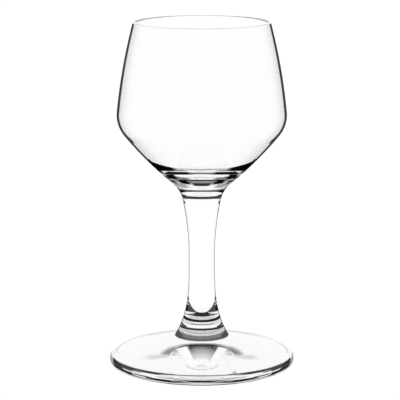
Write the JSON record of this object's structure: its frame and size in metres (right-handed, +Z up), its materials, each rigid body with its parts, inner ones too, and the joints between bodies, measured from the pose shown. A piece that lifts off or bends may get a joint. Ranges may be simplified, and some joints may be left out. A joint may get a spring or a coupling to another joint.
{
  "type": "vodka glass",
  "caption": "Small stemmed spirit glass: thin blown bowl with a rounded shoulder that narrows to the rim, waisted solid stem and sloping round foot, in clear glass.",
  "frame": {"origin": "on the axis, at the level of the ring that the glass stands on", "axes": "+Z up along the axis of the glass, from the foot to the rim; X and Y are free, because the glass is round"},
  "size_m": [0.056, 0.056, 0.104],
  "materials": {
    "clear_glass": "fire-polished clear glass"
  },
  "bodies": {
    "root": {"foot": "clear_glass", "stem": "clear_glass", "bowl": "clear_glass"}
  },
  "joints": []
}
